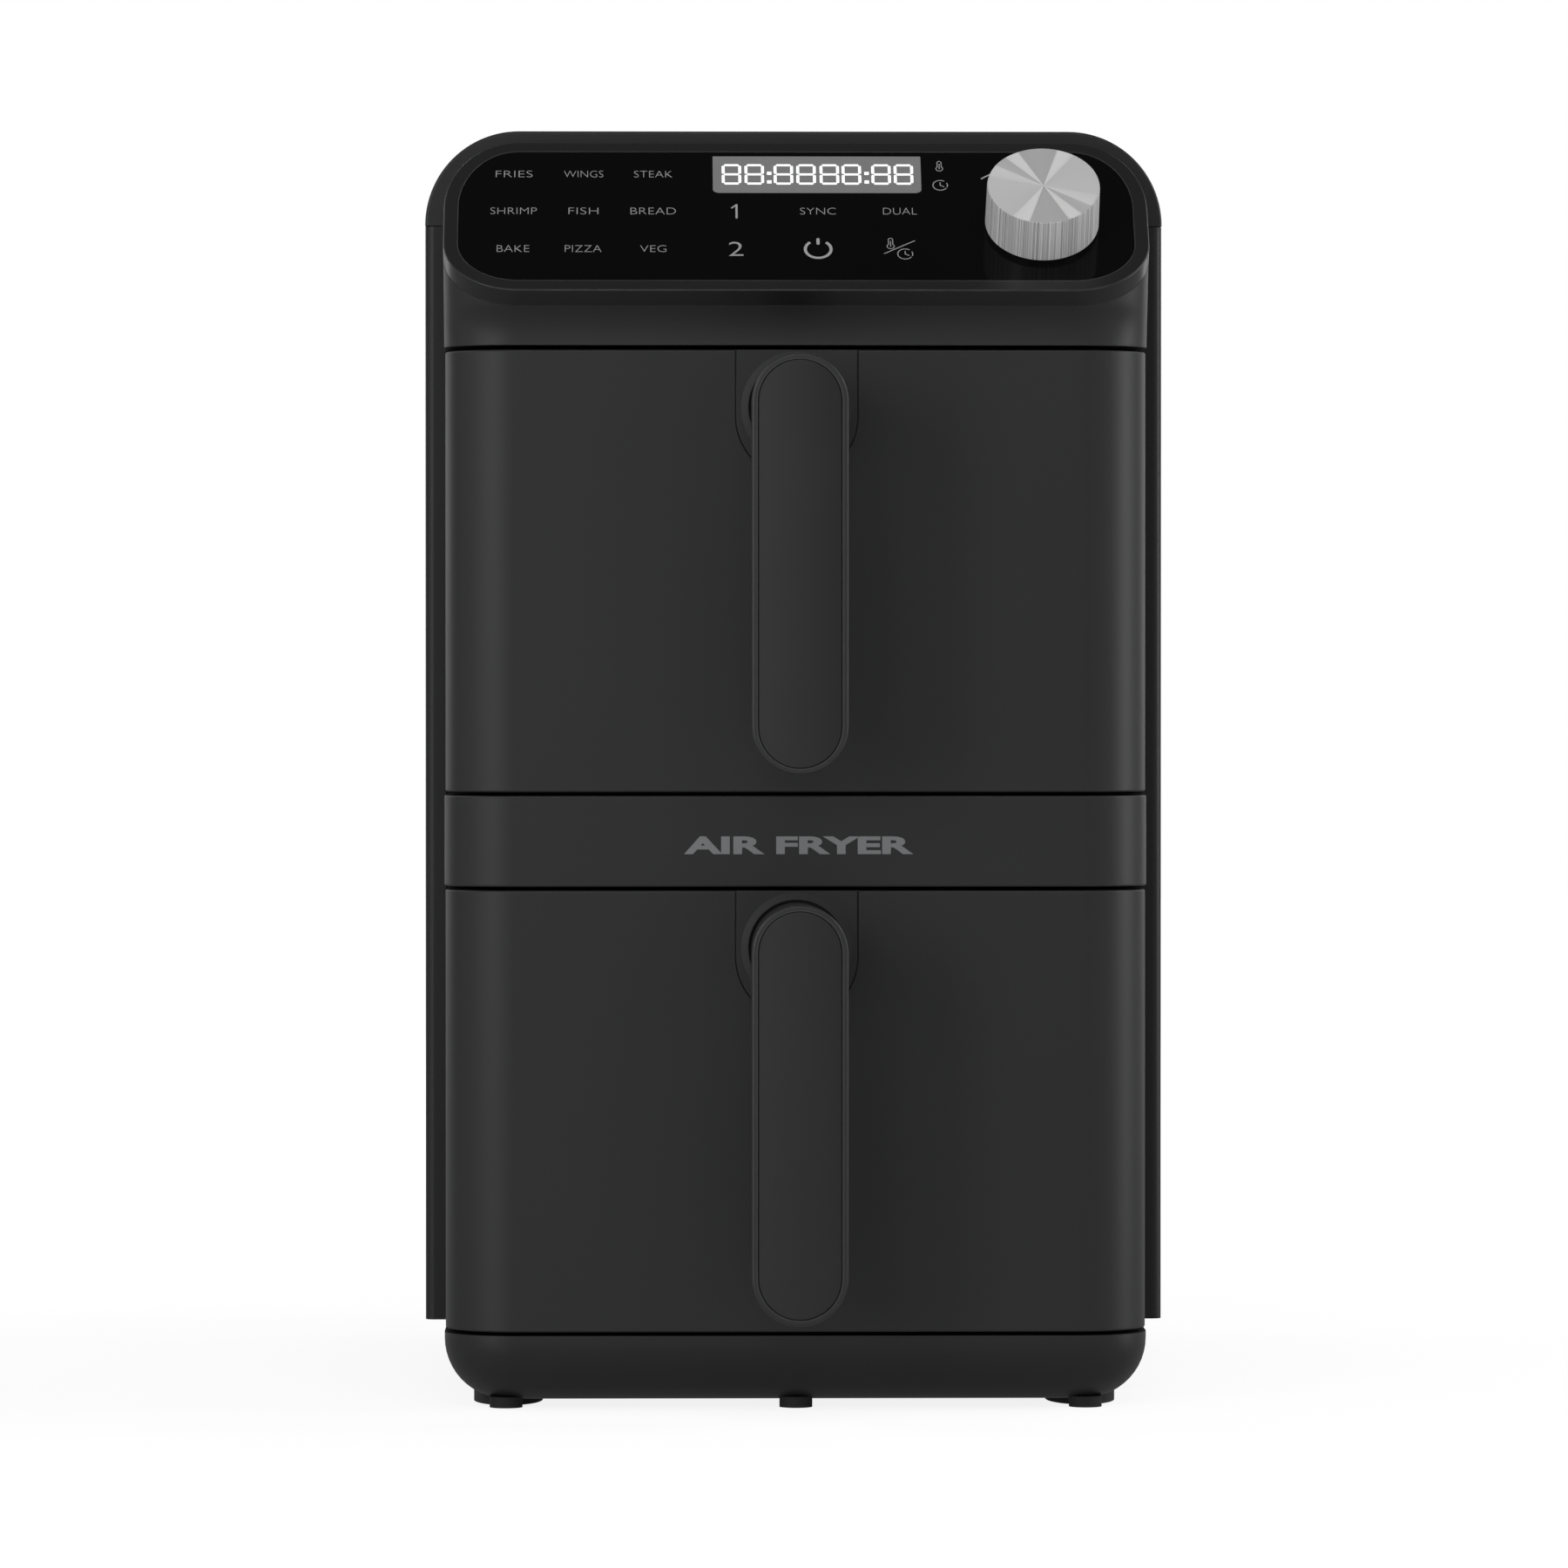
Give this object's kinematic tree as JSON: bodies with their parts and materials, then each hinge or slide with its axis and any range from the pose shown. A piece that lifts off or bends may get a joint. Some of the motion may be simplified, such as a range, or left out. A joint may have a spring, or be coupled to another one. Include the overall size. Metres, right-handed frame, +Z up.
{
  "type": "air fryer",
  "caption": "Stacked air fryer with an upper and a lower pull-out drawer, long handles and a sloping control panel with a dial.",
  "frame": {"origin": "on the worktop, under the middle of the box that holds the whole appliance, handles included", "axes": "+X to the user's right when facing the drawers, -Y out of the front towards the user, +Z up"},
  "size_m": [0.2356, 0.366, 0.4049],
  "materials": {
    "side_steel": "matte",
    "cover_plastic": "fine texture",
    "front_plastic": "matte",
    "handle_satin": "black satin",
    "control_glass": "gloss",
    "display": "lit digits",
    "circuit_board": "green",
    "switch_plastic": "plain",
    "rubber": "matte",
    "silicone": "matte",
    "cavity_steel": "aluminised",
    "element_sheath": "oxidised",
    "motor_steel": "rolled",
    "nonstick": "non-stick",
    "fan_aluminium": "pressed",
    "shaft_steel": "turned",
    "dial_aluminium": "turned",
    "screw_steel": "zinc"
  },
  "bodies": {
    "housing": {"base_tray": "cover_plastic", "front_feet": "rubber", "base_pads": "rubber", "base_screws": "screw_steel", "right_side_panel": "side_steel", "left_side_panel": "side_steel", "top_cover": "cover_plastic", "front_frame": "cavity_steel", "rear_cover": "cover_plastic", "rear_cover_screws": "screw_steel", "cord_gland": "switch_plastic", "waist_band": "front_plastic", "head_housing": "front_plastic", "control_bezel": "front_plastic", "touch_panel": "control_glass", "display_module": "display", "control_board": "circuit_board", "encoder_body": "switch_plastic", "temperature_sensors": "element_sheath", "power_board": "circuit_board", "drawer_switches": "switch_plastic", "upper_cavity": "cavity_steel", "upper_heater": "element_sheath", "upper_fan_guard": "cavity_steel", "upper_fan_motor": "motor_steel", "upper_runners": "cavity_steel", "upper_seal": "silicone", "lower_cavity": "cavity_steel", "lower_heater": "element_sheath", "lower_fan_guard": "cavity_steel", "lower_fan_motor": "motor_steel", "lower_runners": "cavity_steel", "lower_seal": "silicone"},
    "upper_drawer": {"upper_drawer_front": "front_plastic", "upper_drawer_liner": "front_plastic", "upper_pan": "nonstick", "upper_handle_plate": "front_plastic", "upper_handle": "front_plastic", "upper_handle_inlay": "handle_satin", "upper_handle_screws": "screw_steel"},
    "upper_plate": {"upper_crisper_plate": "nonstick", "upper_plate_bumpers": "silicone"},
    "upper_fan": {"upper_impeller": "fan_aluminium", "upper_motor_shaft": "shaft_steel", "upper_cooling_fan": "fan_aluminium"},
    "lower_drawer": {"lower_drawer_front": "front_plastic", "lower_drawer_liner": "front_plastic", "lower_pan": "nonstick", "lower_handle_plate": "front_plastic", "lower_handle": "front_plastic", "lower_handle_inlay": "handle_satin", "lower_handle_screws": "screw_steel"},
    "lower_plate": {"lower_crisper_plate": "nonstick", "lower_plate_bumpers": "silicone"},
    "lower_fan": {"lower_impeller": "fan_aluminium", "lower_motor_shaft": "shaft_steel", "lower_cooling_fan": "fan_aluminium"},
    "dial_shaft": {"dial_stem": "shaft_steel"},
    "dial_knob": {"dial": "dial_aluminium"}
  },
  "joints": [
    {"name": "upper_drawer_slide", "type": "slide", "parent": "housing", "child": "upper_drawer", "axis": [0, -1, 0], "range_m": [0, 0.2]},
    {"name": "upper_plate_lift", "type": "slide", "parent": "upper_drawer", "child": "upper_plate", "axis": [0, 0, -1], "range_m": [-0.07, 0]},
    {"name": "upper_fan_spin", "type": "hinge", "parent": "housing", "child": "upper_fan", "pos_m": [0, 0.141, 0.2636], "axis": [0, 1, 0], "continuous": true},
    {"name": "lower_drawer_slide", "type": "slide", "parent": "housing", "child": "lower_drawer", "axis": [0, -1, 0], "range_m": [0, 0.2]},
    {"name": "lower_plate_lift", "type": "slide", "parent": "lower_drawer", "child": "lower_plate", "axis": [0, 0, -1], "range_m": [-0.07, 0]},
    {"name": "lower_fan_spin", "type": "hinge", "parent": "housing", "child": "lower_fan", "pos_m": [0, 0.141, 0.094], "axis": [0, 1, 0], "continuous": true},
    {"name": "dial_press", "type": "slide", "parent": "housing", "child": "dial_shaft", "axis": [0, 0.7071, -0.7071], "range_m": [0, 0.001], "stiffness_N_per_m": 600, "springref_m": -0.002},
    {"name": "dial_turn", "type": "hinge", "parent": "dial_shaft", "child": "dial_knob", "pos_m": [0.0774, -0.11464, 0.37266], "axis": [0, -0.7071, 0.7071], "continuous": true}
  ]
}
